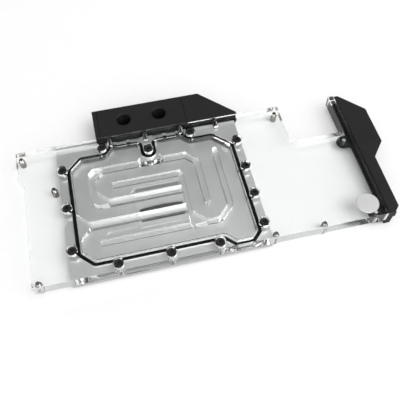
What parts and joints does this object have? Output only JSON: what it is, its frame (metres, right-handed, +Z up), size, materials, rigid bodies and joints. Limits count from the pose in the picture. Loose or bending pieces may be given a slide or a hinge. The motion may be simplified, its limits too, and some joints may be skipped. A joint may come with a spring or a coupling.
{
  "type": "gpu water block",
  "caption": "Liquid cooling block for a graphics card: clear milled cover, nickel cold plate, black gasket, threaded port terminal and black end cover.",
  "frame": {"origin": "middle of the box round the part, on the plane that the feet stand on", "axes": "+X along the length, from the left edge to the black end cover; +Y from the front edge to the port terminal; +Z up, out of the ports"},
  "size_m": [0.2876, 0.147, 0.0165],
  "materials": {
    "clear_acrylic": "polished clear",
    "nickel_plating": "satin nickel",
    "bright_steel": "bright",
    "black_rubber": "matt",
    "black_acetal": "fine machined",
    "black_anodised": "fine blasted, anodised",
    "satin_aluminium": "satin",
    "black_steel": "black oxide",
    "zinc_steel": "zinc plated",
    "nickel_brass": "nickel plated"
  },
  "bodies": {
    "root": {"badge_disc": "satin_aluminium", "bevel_screw": "black_steel", "clear_top": "clear_acrylic", "cold_plate": "nickel_plating", "cover_screw_1": "zinc_steel", "cover_screw_2": "zinc_steel", "end_cover": "black_anodised", "fairing_screw": "black_steel", "jet_plate": "bright_steel", "main_gasket": "black_rubber", "screw_front_1": "black_steel", "screw_front_2": "black_steel", "screw_front_3": "black_steel", "screw_left_1": "black_steel", "screw_left_2": "black_steel", "screw_left_3": "black_steel", "screw_rear_1": "black_steel", "screw_rear_2": "black_steel", "screw_rear_3": "black_steel", "screw_right_1": "black_steel", "screw_right_2": "black_steel", "screw_right_3": "black_steel", "screw_right_4": "black_steel", "standoff_1": "nickel_brass", "standoff_2": "nickel_brass", "standoff_3": "nickel_brass", "standoff_4": "nickel_brass", "standoff_5": "nickel_brass", "standoff_6": "nickel_brass", "terminal_block": "black_acetal", "terminal_end_plate": "black_acetal", "terminal_fairing": "black_acetal", "terminal_gasket_left": "black_rubber", "terminal_gasket_right": "black_rubber", "terminal_screw_1": "black_steel", "terminal_screw_2": "black_steel", "terminal_screw_3": "black_steel"}
  },
  "joints": []
}
